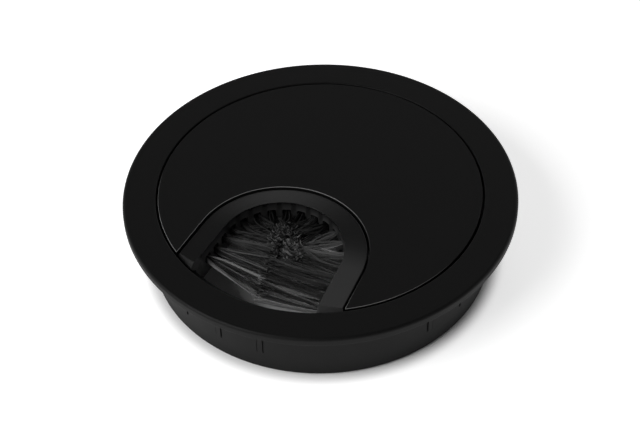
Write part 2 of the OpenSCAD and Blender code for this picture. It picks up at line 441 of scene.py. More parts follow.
@dataclass(frozen=True)
class MouldedPlastic:
    """Injection-moulded black ABS with a satin spark-eroded texture, a little glossier than the coat."""

    dark: str = "#070707"
    light: str = "#0c0c0c"
    # Paler, more matt plastic for painted light on the wall under the rim and on the right arm's end
    painted_lit: str = "#303030"
    roughness: float = 0.25
    painted_lit_roughness: float = 0.5
    ior: float = 1.54
    grain_mm: float = 0.22
    grain_deep_mm: float = 0.015
    grain_bump: float = 0.2
    painted_wall_light: str = "painted_wall_light"
    painted_end_light: str = "painted_end_light"
    painted_end_share: float = 0.6

    def build(self) -> bpy.types.Material:
        """Builds the material.

        Returns:
            The material.
        """
        material, tree = new_material("abs_moulded_satin_black")
        place = add_node(tree, "ShaderNodeTexCoord").outputs["Object"]
        # Spark erosion leaves pits of about 0.05 mm, drawn at 0.22 mm so that they show in the render
        grain = add_node(
            tree, "ShaderNodeTexNoise", {"Vector": place, "Scale": per_mm(self.grain_mm), "Detail": 2.0}
        )
        colour = add_node(
            tree, "ShaderNodeMix",
            {"Factor": grain.outputs["Fac"], "A": linear(self.dark), "B": linear(self.light)},
            data_type="RGBA",
        )
        # Painted light: the wall that the bristles stand in, under the rim, is paler and more matt
        painted_wall_light = add_node(tree, "ShaderNodeAttribute", attribute_name=self.painted_wall_light).outputs["Fac"]
        # Painted light: the right arm's end is nearly as pale, standing in for the light that falls on it
        painted_end_light = add_node(tree, "ShaderNodeAttribute", attribute_name=self.painted_end_light).outputs["Fac"]
        painted_light_share = add_node(
            tree, "ShaderNodeMath", {0: painted_end_light, 1: self.painted_end_share, 2: painted_wall_light},
            operation="MULTIPLY_ADD", use_clamp=True,
        ).outputs["Value"]
        painted_light_colour = add_node(
            tree, "ShaderNodeMix",
            {"Factor": painted_light_share, "A": colour.outputs["Result"], "B": linear(self.painted_lit)},
            data_type="RGBA",
        )
        painted_light_rough = add_node(
            tree, "ShaderNodeMapRange",
            {"Value": painted_light_share, "To Min": self.roughness, "To Max": self.painted_lit_roughness},
        )
        bump = add_node(
            tree, "ShaderNodeBump",
            {"Height": grain.outputs["Fac"], "Strength": self.grain_bump, "Distance": self.grain_deep_mm * MM},
        )
        skin = add_node(
            tree, "ShaderNodeBsdfPrincipled",
            {
                "Base Color": painted_light_colour.outputs["Result"],
                "Roughness": painted_light_rough.outputs["Result"],
                "Normal": bump.outputs["Normal"],
                "IOR": self.ior,
            },
        )
        add_node(tree, "ShaderNodeOutputMaterial", {"Surface": skin.outputs["BSDF"]})
        return material


@dataclass(frozen=True)
class NylonFilament:
    """Extruded black nylon filament: dark, smooth and glossy, with painted glints as a lighter tone on some
    filaments.
    """

    dark: str = "#050505"
    # Tone of the painted glints
    light: str = "#808080"
    dark_roughness: float = 0.4
    light_roughness: float = 0.22
    ior: float = 1.53
    specular: float = 0.2
    tone: str = "tone"

    def build(self) -> bpy.types.Material:
        """Builds the material.

        Returns:
            The material.
        """
        material, tree = new_material("nylon_filament_black")
        # Glints on filaments this thin are too fine to render, so each filament's own tone stands in for them
        tone = add_node(tree, "ShaderNodeAttribute", attribute_name=self.tone).outputs["Fac"]
        colour = add_node(
            tree, "ShaderNodeMix",
            {"Factor": tone, "A": linear(self.dark), "B": linear(self.light)},
            data_type="RGBA",
        )
        rough = add_node(
            tree, "ShaderNodeMapRange",
            {"Value": tone, "To Min": self.dark_roughness, "To Max": self.light_roughness},
        )
        skin = add_node(
            tree, "ShaderNodeBsdfPrincipled",
            {
                "Base Color": colour.outputs["Result"],
                "Roughness": rough.outputs["Result"],
                "IOR": self.ior,
                "Specular IOR Level": self.specular,
            },
        )
        add_node(tree, "ShaderNodeOutputMaterial", {"Surface": skin.outputs["BSDF"]})
        return material


@dataclass(frozen=True)
class BlackZinc:
    """Black passivated zinc plate on steel: a dark metal with a slight satin and faint clouds."""

    dark: str = "#242427"
    light: str = "#3a3a3e"
    roughness: float = 0.34
    cloud_mm: float = 0.8

    def build(self) -> bpy.types.Material:
        """Builds the material.

        Returns:
            The material.
        """
        material, tree = new_material("steel_black_zinc_plated")
        place = add_node(tree, "ShaderNodeTexCoord").outputs["Object"]
        # The passivation is a little thicker in some places, which gives clouds a bit under a millimetre wide
        cloud = add_node(
            tree, "ShaderNodeTexNoise", {"Vector": place, "Scale": per_mm(self.cloud_mm), "Detail": 3.0}
        )
        colour = add_node(
            tree, "ShaderNodeMix",
            {"Factor": cloud.outputs["Fac"], "A": linear(self.dark), "B": linear(self.light)},
            data_type="RGBA",
        )
        skin = add_node(
            tree, "ShaderNodeBsdfPrincipled",
            {"Base Color": colour.outputs["Result"], "Roughness": self.roughness, "Metallic": 1.0},
        )
        add_node(tree, "ShaderNodeOutputMaterial", {"Surface": skin.outputs["BSDF"]})
        return material


@dataclass(frozen=True)
class StudioPaper:
    """White seamless studio paper: matt and even, and seen as white from the sleeve outwards.

    For the camera and for mirrored rays it also glows, from a ring at the sleeve outwards. The lamps light it
    up to a reach of far_from_mm, and past far_full_mm its glow alone makes it white.
    """

    colour: str = "#f6f6f6"
    glow_from_mm: float = 38.5
    glow_full_mm: float = 43.0
    least_glow: float = 0.014
    seen_glow: float = 0.66
    far_glow: float = 1.0
    far_from_mm: float = 110.0
    far_full_mm: float = 450.0
    mirrored_glow: float = 0.6

    def build(self) -> bpy.types.Material:
        """Builds the material.

        Returns:
            The material.
        """
        material, tree = new_material("studio_paper_white")
        place = add_node(tree, "ShaderNodeTexCoord").outputs["Object"]
        reach = add_node(tree, "ShaderNodeVectorMath", {0: place}, operation="LENGTH").outputs["Value"]
        # Painted shadow: the glow fades out over a ring towards the sleeve, so the floor darkens softly round
        # its foot, and inside it only the lamps light the floor
        ring = add_node(
            tree, "ShaderNodeMapRange",
            {
                "Value": reach, "From Min": self.glow_from_mm * MM, "From Max": self.glow_full_mm * MM,
                "To Min": self.least_glow,
            },
            interpolation_type="SMOOTHSTEP",
        )
        path = add_node(tree, "ShaderNodeLightPath").outputs
        mirrored = add_node(
            tree, "ShaderNodeMath", {0: path["Is Glossy Ray"], 1: path["Is Transmission Ray"]}, operation="ADD"
        )
        # Far out, past the lamps' light, the paper still reads white up to the horizon
        far = add_node(
            tree, "ShaderNodeMapRange",
            {
                "Value": reach, "From Min": self.far_from_mm * MM, "From Max": self.far_full_mm * MM,
                "To Min": self.seen_glow, "To Max": self.far_glow,
            },
        )
        seen = add_node(
            tree, "ShaderNodeMath", {0: path["Is Camera Ray"], 1: far.outputs["Result"]}, operation="MULTIPLY"
        )
        level = add_node(
            tree, "ShaderNodeMath",
            {0: mirrored.outputs["Value"], 1: self.mirrored_glow, 2: seen.outputs["Value"]},
            operation="MULTIPLY_ADD",
        )
        strength = add_node(
            tree, "ShaderNodeMath", {0: level.outputs["Value"], 1: ring.outputs["Result"]},
            operation="MULTIPLY",
        )
        paper = add_node(tree, "ShaderNodeBsdfDiffuse", {"Color": linear(self.colour)})
        glow = add_node(tree, "ShaderNodeEmission", {"Strength": strength.outputs["Value"]})
        both = add_node(tree, "ShaderNodeAddShader", {0: paper.outputs["BSDF"], 1: glow.outputs["Emission"]})
        add_node(tree, "ShaderNodeOutputMaterial", {"Surface": both.outputs["Shader"]})
        return material


# ---- Sub-assemblies


@dataclass(frozen=True)
class Liner:
    """Flange and sleeve in one casting, with the ledge for the cover inside and grip ribs outside."""

    sleeve_r: float = 39.0
    sleeve_in_r: float = 37.0
    sleeve_h: float = 16.0
    sleeve_chamfer: float = 0.5
    flange_r: float = 44.5
    flange_edge_r: float = 0.75
    flange_low_edge_r: float = 0.15
    top_z: float = 18.0
    recess_r: float = 37.0
    recess_edge_r: float = 0.3
    seat_z: float = 15.5
    ledge_r: float = 35.0
    ledge_low_z: float = 14.0
    ledge_edge_r: float = 0.15
    rib_w: float = 1.2
    rib_l: float = 10.6
    rib_out: float = 0.2
    rib_in: float = 1.0
    rib_edge_r: float = 0.08
    groove_w: float = 0.22
    groove_deep: float = 0.15
    rib_groups: tuple[float, ...] = (-99.3, -12.5, 80.7, 167.5)
    rib_turns: tuple[float, ...] = (-15.0, 0.0, 15.0)

    def build(self) -> bpy.types.Object:
        """Builds the liner's solid.

        Returns:
            The liner.
        """
        bm = lathe([
            (self.sleeve_in_r, 0), (self.sleeve_r - self.sleeve_chamfer, 0),
            (self.sleeve_r, self.sleeve_chamfer), (self.sleeve_r, self.sleeve_h),
            (self.flange_r, self.sleeve_h), (self.flange_r, self.top_z),
            (self.recess_r, self.top_z), (self.recess_r, self.seat_z), (self.ledge_r, self.seat_z),
            (self.ledge_r, self.ledge_low_z), (self.sleeve_in_r, self.ledge_low_z),
        ])
        round_ring(bm, self.flange_r, self.top_z, self.flange_edge_r, segments=8)
        round_ring(bm, self.flange_r, self.sleeve_h, self.flange_low_edge_r, segments=3)
        round_ring(bm, self.recess_r, self.top_z, self.recess_edge_r)
        for height in (self.seat_z, self.ledge_low_z):
            round_ring(bm, self.ledge_r, height, self.ledge_edge_r, segments=3)
        liner = make_piece("liner_casting", bm)
        out, deep, wide = self.rib_out, self.rib_in, self.rib_w + 2 * self.groove_w
        combine(liner, self.build_blocks(out, self.groove_deep, wide, self.groove_w, 0.0, 0.0), Combine.CUT)
        combine(liner, self.build_blocks(out, deep, self.rib_w, 0.0, deep, self.rib_edge_r), Combine.ADD)
        weigh_normals(liner)
        return liner

    def build_blocks(
        self, out: float, deep: float, wide: float, below: float, above: float, edge: float
    ) -> bpy.types.Object:
        """Builds a block at each grip rib, for the rib or for the fine groove round it.

        Args:
            out: How far the blocks stand out of the sleeve, in mm.
            deep: How far they reach into its wall, in mm.
            wide: Their width, in mm.
            below: How far they reach past the rib's lower end, in mm.
            above: How far they reach into the flange, in mm.
            edge: Radius of their edges, in mm.

        Returns:
            All the blocks as one solid.
        """
        bm = bmesh.new()
        low, high = self.sleeve_h - self.rib_l - below, self.sleeve_h + above
        centre = Vector((self.sleeve_r + (out - deep) / 2, 0, (low + high) / 2))
        for turn in [g + t for g in self.rib_groups for t in self.rib_turns]:
            place = Matrix.Rotation(math.radians(turn), 4, "Z") @ Matrix.Translation(centre * MM)
            add_block(bm, place, Vector((out + deep, wide, high - low)), edge)
        return make_piece("rib_blocks", bm)


@dataclass(frozen=True)
class Mouth:
    """Plan of the mouth: an arc, and two arms that open towards the edge, measured from the arc's centre."""

    radius: float = 14.1
    arc_y: float = -20.5
    flare: float = math.radians(3)
    arm_l: float = 30.1
    arc_steps: int = 120

    def arm_way(self, side: Side) -> Vector:
        """Direction in which an arm runs, from the arc to the edge."""
        return Vector((side.value * math.sin(self.flare), -math.cos(self.flare), 0))

    def arm_in(self, side: Side) -> Vector:
        """Direction from an arm's wall in to the mouth."""
        return Vector((-side.value * math.cos(self.flare), -math.sin(self.flare), 0))

    def wall_point(self, s: float, deep: float, side: Side) -> Vector:
        """Finds a point on an arm's wall.

        Args:
            s: Distance along the wall from the end of the arc, in mm.
            deep: Depth into the wall, in mm.
            side: Which arm.

        Returns:
            The point in mm, measured from the arc's centre.
        """
        return -self.arm_in(side) * (self.radius + deep) + self.arm_way(side) * s

    def arm_place(self, s: float, side: Side, height: float) -> Matrix:
        """Place on an arm's wall whose X axis points into the wall.

        Args:
            s: Distance along the wall from the end of the arc, in mm.
            side: Which arm.
            height: Height, in mm.

        Returns:
            The place in the frame, in metres.
        """
        point = self.wall_point(s, 0, side)
        turn = self.flare if side is Side.RIGHT else math.pi - self.flare
        place = Matrix.Translation(at_arc(point.x, point.y, height, self.arc_y))
        return place @ Matrix.Rotation(turn, 4, "Z")

    def arc_place(self, turn: float, radius: float, height: float) -> Matrix:
        """Place on the arc at a turn, in degrees, whose X axis points away from the arc's centre."""
        spun = Matrix.Rotation(math.radians(turn), 4, "Z") @ Matrix.Translation((radius * MM, 0, 0))
        return Matrix.Translation(at_arc(0, 0, height, self.arc_y)) @ spun

    def spin_along(
        self, bm: bmesh.types.BMesh, verts: list[bmesh.types.BMVert], edges: list[bmesh.types.BMEdge]
    ) -> None:
        """Runs a section, which stands at the start of the arc, round the arc and along both arms.

        Args:
            bm: Mesh with the section.
            verts: The section's vertices.
            edges: The section's edges.
        """
        spun = bmesh.ops.spin(
            bm, geom=verts + edges, cent=at_arc(0, 0, 0, self.arc_y), axis=(0, 0, 1),
            angle=math.pi - 2 * self.flare, steps=self.arc_steps, use_merge=False,
        )
        ends = {Side.RIGHT: (verts, edges)}
        ends[Side.LEFT] = tuple(
            [g for g in spun["geom_last"] if isinstance(g, kind)]
            for kind in (bmesh.types.BMVert, bmesh.types.BMEdge)
        )
        for side, (end_verts, end_edges) in ends.items():
            if end_edges:
                grown = bmesh.ops.extrude_edge_only(bm, edges=end_edges)["geom"]
            else:
                grown = bmesh.ops.extrude_vert_indiv(bm, verts=end_verts)["verts"]
            moved = [g for g in grown if isinstance(g, bmesh.types.BMVert)]
            bmesh.ops.translate(bm, verts=moved, vec=self.arm_way(side) * self.arm_l * MM)


@dataclass(frozen=True)
class ScrewPlan:
    """Sizes and places of the screws that hold the holder's foot to the cover."""

    radius: float = 1.0
    length: float = 3.0
    head_r: float = 1.9
    head_h: float = 1.4
    seat_z: float = 14.0
    circle_r: float = 21.45
    turns: tuple[float, ...] = (28.0, 90.0, 152.0)

    def centres(self, mouth: Mouth) -> list[Vector]:
        """Axes of the screws at the height zero, in metres."""
        return [mouth.arc_place(turn, self.circle_r, 0).translation for turn in self.turns]


@dataclass(frozen=True)
class Cover:
    """Flat disc that closes the liner, with the mouth cut out of it.

    Its top edge carries painted highlights in bands, at drops under the top that are shares of the edge's
    radius. On the rim they start at one Y and on the cut-out at one X, and each grows to its full strength over
    a length.
    """

    radius: float = 36.5
    low_z: float = 15.5
    top_z: float = 18.0
    edge_r: float = 0.5
    cutout_r: float = 19.55
    cutout_edge_r: float = 0.6
    highlight_drops: tuple[tuple[float, float], ...] = ((0.02, 0.08), (0.08, 0.2))
    highlight_shares: tuple[float, ...] = (1.0, 0.6)
    rim_highlight_from_y: float = -8.0
    rim_highlight_over: float = 16.0
    mouth_highlight_from_x: float = 19.0
    mouth_highlight_over: float = 12.0
    hole_r: float = 1.05
    hole_top_z: float = 17.2
    over: float = 1.0

    def build(self, mouth: Mouth, screws: ScrewPlan) -> bpy.types.Object:
        """Builds the cover's solid.

        Args:
            mouth: Plan of the mouth.
            screws: Plan of the screws, for their holes.

        Returns:
            The cover.
        """
        bm = bmesh.new()
        add_rod(bm, Vector(), self.radius, self.low_z, self.top_z, TURN_STEPS)
        cover = make_piece("cover_disc", bm)
        combine(cover, self.build_cutter(mouth, screws), Combine.CUT)
        self.round_top(cover)
        weigh_normals(cover)
        return cover

    def build_cutter(self, mouth: Mouth, screws: ScrewPlan) -> bpy.types.Object:
        """Builds the solid of the mouth's cut-out and the tapped holes.

        Args:
            mouth: Plan of the mouth.
            screws: Plan of the screws.

        Returns:
            The cutter.
        """
        bm = bmesh.new()
        start = Matrix.Rotation(mouth.flare, 3, "Z") @ Vector((self.cutout_r, 0, self.low_z - self.over))
        mouth.spin_along(bm, [bm.verts.new(at_arc(*start, mouth.arc_y))], [])
        outline = bmesh.ops.contextual_create(bm, geom=list(bm.edges))["faces"]
        raise_faces(bm, outline, self.top_z - self.low_z + 2 * self.over)
        for centre in screws.centres(mouth):
            add_rod(bm, centre, self.hole_r, self.low_z - self.over, self.hole_top_z)
        bmesh.ops.recalc_face_normals(bm, faces=bm.faces)
        return make_piece("cutter", bm)

    def round_top(self, cover: bpy.types.Object) -> None:
        """Rounds the top edge, with one radius outside and another round the mouth.

        Args:
            cover: The cover, cut to its shape.
        """
        widest = max(self.edge_r, self.cutout_edge_r)
        with mesh_edit(cover.data) as bm:
            weight = bm.edges.layers.float.new("bevel_weight_edge")
            for edge in bm.edges:
                on_top = all(abs(v.co.z - self.top_z * MM) < RING_TOLERANCE * MM for v in edge.verts)
                if on_top and edge.calc_face_angle(0) > SHARP_ANGLE:
                    outside = all(v.co.xy.length > (self.radius - RING_TOLERANCE) * MM for v in edge.verts)
                    edge[weight] = (self.edge_r if outside else self.cutout_edge_r) / widest
        step = cover.modifiers.new("round top", "BEVEL")
        step.limit_method = "WEIGHT"
        step.width = widest * MM
        step.segments = 6
        apply_modifiers(cover)
        with mesh_edit(cover.data) as bm:
            # The two roundings meet in a corner of the top face with a sliver between them
            bmesh.ops.remove_doubles(bm, verts=bm.verts, dist=RING_TOLERANCE * MM)
            self.paint_highlights(bm)

    def paint_highlights(self, bm: bmesh.types.BMesh) -> None:
        """Marks painted highlights on the rounded edges near the mouth, as a paler and smoother coat.

        Args:
            bm: The cover's mesh, with its top edge rounded.
        """
        layer = bm.verts.layers.float.new("edge")
        for vert in bm.verts:
            at = vert.co / MM
            outside = at.xy.length > self.radius - self.edge_r - RING_TOLERANCE
            drop = (self.top_z - at.z) / (self.edge_r if outside else self.cutout_edge_r)
            if outside:
                near = (self.rim_highlight_from_y - at.y) / self.rim_highlight_over
            else:
                near = (self.mouth_highlight_from_x - at.x) / self.mouth_highlight_over
            # Each band of the rounding takes its share of the painted highlight
            for (low, high), share in zip(self.highlight_drops, self.highlight_shares):
                if low < drop <= high:
                    vert[layer] = share * min(1.0, max(0.0, near))


@dataclass(frozen=True)
class TuftPlan:
    """Places of the tufts and their slots round the mouth."""

    pitch: float = 3.34
    slot_w: float = 2.0
    slot_h: float = 2.2
    slot_deep: float = 1.2
    slot_low_z: float = 14.0
    slot_edge_r: float = 0.3
    arc_tufts: int = 12
    first_arc_turn: float = 15.353
    arc_turn: float = 13.572
    first_arm_s: float = 0.3
    arm_tufts: tuple[tuple[Side, int], ...] = ((Side.LEFT, 3), (Side.RIGHT, 4))

    @property
    def slot_mid_z(self) -> float:
        """Height of the middle of the slots."""
        return self.slot_low_z + self.slot_h / 2

    def arc_turn_of(self, number: int) -> float:
        """Turn of an arc tuft round the arc's centre, in degrees."""
        return self.first_arc_turn + self.arc_turn * (number - 1)

    def arm_s_of(self, number: int) -> float:
        """Distance of an arm tuft along its wall from the end of the arc, in mm."""
        return self.first_arm_s + self.pitch * (number - 1)


@dataclass(frozen=True)
class BrushHolder:
    """Moulded strip that lines the mouth: a rim that rises inward, a slotted wall and a foot under the cover.

    Its wall under the rim and the right arm's end carry painted light, as a paler plastic.
    """

    radius: float = 19.2
    foot_r: float = 23.7
    low_z: float = 11.05
    foot_low_z: float = 14.0
    seat_z: float = 15.5
    rim_out_z: float = 17.65
    rim_in_z: float = 18.45
    rim_edge_r: float = 0.4
    rim_in_edge_r: float = 0.03
    low_edge_r: float = 0.2
    end_r: float = 36.4
    end_low_r: float = 34.8
    end_chamfer: float = 0.45
    screw_hole_r: float = 1.2
    lead_in_angle: float = math.radians(8)
    lead_in_after: float = 1.6
    wall_light_deep: float = 0.3
    wall_light_drop: float = 0.2
    end_light_tolerance: float = 0.06
    end_light_least_up: float = 0.5
    over: float = 1.0

    def build(self, mouth: Mouth, tufts: TuftPlan, screws: ScrewPlan) -> bpy.types.Object:
        """Builds the holder's solid.

        Args:
            mouth: Plan of the mouth.
            tufts: Plan of the tufts, for their slots.
            screws: Plan of the screws, for their holes.

        Returns:
            The holder.
        """
        bm = bmesh.new()
        verts, edges = self.add_section(bm, mouth)
        mouth.spin_along(bm, verts, edges)
        bmesh.ops.holes_fill(bm, edges=[e for e in bm.edges if e.is_boundary])
        bmesh.ops.recalc_face_normals(bm, faces=bm.faces)
        holder = make_piece("brush_holder_moulding", bm)
        combine(holder, self.build_limit(), Combine.KEEP_COMMON)
        combine(holder, self.build_cutter(mouth, tufts, screws), Combine.CUT)
        # The wall under the rim and the right arm's end take painted light
        self.paint_wall_light(holder, mouth)
        self.paint_end_light(holder)
        weigh_normals(holder)
        return holder

    def paint_wall_light(self, holder: bpy.types.Object, mouth: Mouth) -> None:
        """Marks the wall round the brush, under the rim's inner edge, for painted light.

        Args:
            holder: The holder's solid.
            mouth: Plan of the mouth.
        """
        layer = holder.data.attributes.new("painted_wall_light", "FLOAT", "POINT")
        for vert, item in zip(holder.data.vertices, layer.data):
            x, y, z = vert.co / MM
            y -= mouth.arc_y
            reach = math.hypot(x, y) if y > 0 else abs(x) + y * math.tan(mouth.flare)
            on_wall = reach < mouth.radius + self.wall_light_deep and z < self.rim_in_z - self.wall_light_drop
            item.value = 1.0 if on_wall else 0.0

    def paint_end_light(self, holder: bpy.types.Object) -> None:
        """Marks the chamfer on the end of the right arm for painted light.

        Args:
            holder: The holder's solid.
        """
        layer = holder.data.attributes.new("painted_end_light", "FLOAT", "FACE")
        reach = self.end_r + self.rim_out_z - self.end_chamfer
        for face, item in zip(holder.data.polygons, layer.data):
            at = face.center / MM
            near = abs(at.xy.length + at.z - reach) < self.end_light_tolerance
            item.value = 1.0 if near and face.normal.z > self.end_light_least_up and at.x > 0 else 0.0

    def add_section(
        self, bm: bmesh.types.BMesh, mouth: Mouth
    ) -> tuple[list[bmesh.types.BMVert], list[bmesh.types.BMEdge]]:
        """Adds the section of foot, wall and rim at the start of the arc, with its corners rounded.

        Args:
            bm: Mesh that takes the section.
            mouth: Plan of the mouth.

        Returns:
            The section's vertices and edges.
        """
        section = [
            (mouth.radius, self.low_z), (self.radius, self.low_z), (self.radius, self.foot_low_z),
            (self.foot_r, self.foot_low_z), (self.foot_r, self.seat_z), (self.radius, self.seat_z),
            (self.radius, self.rim_out_z), (mouth.radius, self.rim_in_z),
        ]
        turn = Matrix.Rotation(mouth.flare, 3, "Z")
        points = [at_arc(*(turn @ Vector((r, 0, z))), mouth.arc_y) for r, z in section]
        verts = [bm.verts.new(point) for point in points]
        bm.faces.new(verts)
        low_in, low_out, rim_out, rim_in = verts[0], verts[1], verts[-2], verts[-1]
        corners = {
            low_in: self.low_edge_r, low_out: self.low_edge_r,
            rim_out: self.rim_edge_r, rim_in: self.rim_in_edge_r,
        }
        for corner, size in corners.items():
            bmesh.ops.bevel(
                bm, geom=[corner], offset=size * MM, affect="VERTICES", segments=4, profile=0.5, material=-1
            )
        bmesh.ops.delete(bm, geom=bm.faces[:], context="FACES_ONLY")
        return list(bm.verts), list(bm.edges)

    def build_limit(self) -> bpy.types.Object:
        """Builds the round space that the arm ends stay in, inside the recess and over the ledge.

        Returns:
            The space as a solid.
        """
        low, top = self.low_z - self.over, self.rim_in_z + self.over
        chamfer_z = self.rim_out_z - self.end_chamfer
        return make_piece("limit", lathe([
            (0, low), (self.end_low_r, low), (self.end_low_r, self.seat_z), (self.end_r, self.seat_z),
            (self.end_r, chamfer_z), (self.end_r - (top - chamfer_z), top), (0, top),
        ]))

    def build_cutter(self, mouth: Mouth, tufts: TuftPlan, screws: ScrewPlan) -> bpy.types.Object:
        """Builds the blocks of the slots, the lead-ins of both arms and the screw holes.

        Args:
            mouth: Plan of the mouth.
            tufts: Plan of the tufts.
            screws: Plan of the screws.

        Returns:
            The cutter.
        """
        bm = bmesh.new()
        size = Vector((tufts.slot_deep + self.over, tufts.slot_w, tufts.slot_h))
        back = Matrix.Translation(((tufts.slot_deep - self.over) / 2 * MM, 0, 0))
        places = [
            mouth.arc_place(tufts.arc_turn_of(i), mouth.radius, tufts.slot_mid_z)
            for i in range(1, tufts.arc_tufts + 1)
        ]
        for side, count in tufts.arm_tufts:
            places += [
                mouth.arm_place(tufts.arm_s_of(i), side, tufts.slot_mid_z) for i in range(1, count + 1)
            ]
            self.add_lead_in(bm, mouth, side, tufts.arm_s_of(count) + tufts.slot_w / 2 + self.lead_in_after)
        for place in places:
            add_block(bm, place @ back, size, tufts.slot_edge_r)
        for centre in screws.centres(mouth):
            add_rod(bm, centre, self.screw_hole_r, self.foot_low_z - self.over, self.seat_z + self.over / 2)
        bmesh.ops.recalc_face_normals(bm, faces=bm.faces)
        return make_piece("cutter", bm)

    def add_lead_in(self, bm: bmesh.types.BMesh, mouth: Mouth, side: Side, start: float) -> None:
        """Adds the wedge that opens an arm's wall past its last slot.

        Args:
            bm: Mesh that takes the wedge.
            mouth: Plan of the mouth.
            side: Which arm.
            start: Distance along the wall at which the wedge starts, in mm.
        """
        end = start + mouth.arm_l
        corners = [
            (start, 0), (start, -self.over), (end, -self.over),
            (end, mouth.arm_l * math.tan(self.lead_in_angle)),
        ]
        low = self.low_z - self.over
        plan = [mouth.wall_point(s, deep, side) for s, deep in corners]
        face = bm.faces.new([bm.verts.new(at_arc(p.x, p.y, low, mouth.arc_y)) for p in plan])
        raise_faces(bm, [face], self.rim_in_z + self.over - low)


@dataclass(frozen=True)
class Screw:
    """Pan head screw with a cross recess, head down under the holder's foot."""

    steps: int = 48
    head_edge_r: float = 0.675
    cross_l: float = 2.13
    cross_w: float = 0.5
    cross_deep: float = 0.7
    over: float = 1.0

    def build(self, name: str, plan: ScrewPlan, centre: Vector) -> bpy.types.Object:
        """Builds one screw.

        Args:
            name: Name of the piece.
            plan: Plan of the screws.
            centre: Its axis, in metres.

        Returns:
            The screw.
        """
        low = plan.seat_z - plan.head_h
        bm = lathe([
            (0, low), (plan.head_r, low), (plan.head_r, plan.seat_z), (plan.radius, plan.seat_z),
            (plan.radius, plan.seat_z + plan.length), (0, plan.seat_z + plan.length),
        ], self.steps)
        round_ring(bm, plan.head_r, low, self.head_edge_r)
        bmesh.ops.translate(bm, verts=bm.verts, vec=centre)
        screw = make_piece(name, bm)
        middle = Vector((centre.x, centre.y, (low + (self.cross_deep - self.over) / 2) * MM))
        for size in ((self.cross_l, self.cross_w), (self.cross_w, self.cross_l)):
            cutter = bmesh.new()
            add_block(cutter, Matrix.Translation(middle), Vector((*size, self.cross_deep + self.over)))
            combine(screw, make_piece("cross", cutter), Combine.CUT)
        weigh_normals(screw)
        return screw


def between(ends: tuple[float, float], share: float) -> float:
    """Finds the value at a share of the way from one end of a range to the other."""
    return ends[0] + (ends[1] - ends[0]) * share


@dataclass(frozen=True)
class Clump:
    """Strands of one arm tuft that leave the slot and end together.

    Share is their part of the tuft's strands. Root and tones give ranges across the root (-1 to 1) and of the
    tone (0 to 1), and tips give the range in which they end, in mm from the arc's centre towards the edge.
    Stray scales how far they lie out of line, and height how thick the clump is.
    """

    share: float
    root: tuple[float, float]
    tips: tuple[float, float]
    tones: tuple[float, float] = (0.0, 0.8)
    stray: float = 1.0
    height: float = 1.0


@dataclass(frozen=True)
class Hank:
    """One tuft's place: its root on the wall, its way in and its way along the wall.

    The root is in mm from the arc's centre. An arm tuft has clumps, and an arc tuft has tones, an aim that
    moves its place in the tangle, in mm, and a gather that scales how widely its strands end there.
    """

    name: str
    root: Vector
    inward: Vector
    along: Vector
    seed: int
    clumps: tuple[Clump, ...] = ()
    tones: tuple[float, float] = (0.0, 0.6)
    aim: tuple[float, float] = (0.0, 0.0)
    gather: float = 1.0


